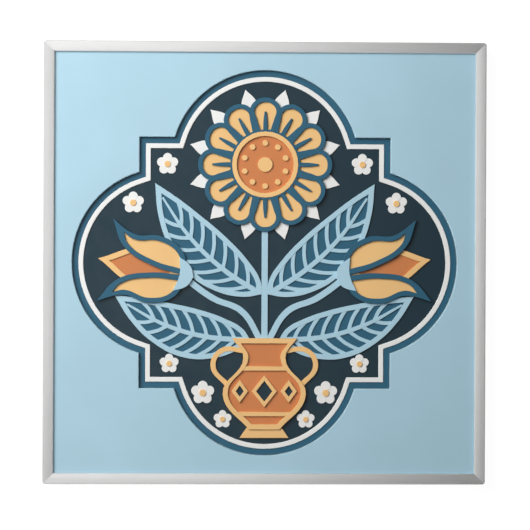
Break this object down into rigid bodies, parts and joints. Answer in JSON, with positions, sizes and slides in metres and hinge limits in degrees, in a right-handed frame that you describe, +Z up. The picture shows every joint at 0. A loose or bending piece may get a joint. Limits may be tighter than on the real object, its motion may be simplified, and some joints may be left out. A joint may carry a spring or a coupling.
{
  "type": "framed picture tile",
  "caption": "Square glazed picture tile with a sunk ornamental field, gripped all round by a thin mitred metal frame; rests flat or stands on its lower edge.",
  "frame": {"origin": "on the floor under the middle of the tile, with the picture facing up", "axes": "+Z up out of the picture face, +Y towards the top of the picture, +X to the picture's right"},
  "size_m": [0.155, 0.155, 0.0089],
  "materials": {
    "glaze_pale_blue": "satin glaze",
    "glaze_slate": "satin glaze",
    "glaze_teal": "satin glaze",
    "glaze_sand": "satin glaze",
    "glaze_terracotta": "satin glaze",
    "glaze_white": "satin glaze",
    "frame_metal": "satin anodised"
  },
  "bodies": {
    "root": {"tile": "glaze_pale_blue", "top_rail": "frame_metal", "right_rail": "frame_metal", "bottom_rail": "frame_metal", "left_rail": "frame_metal"}
  },
  "joints": []
}
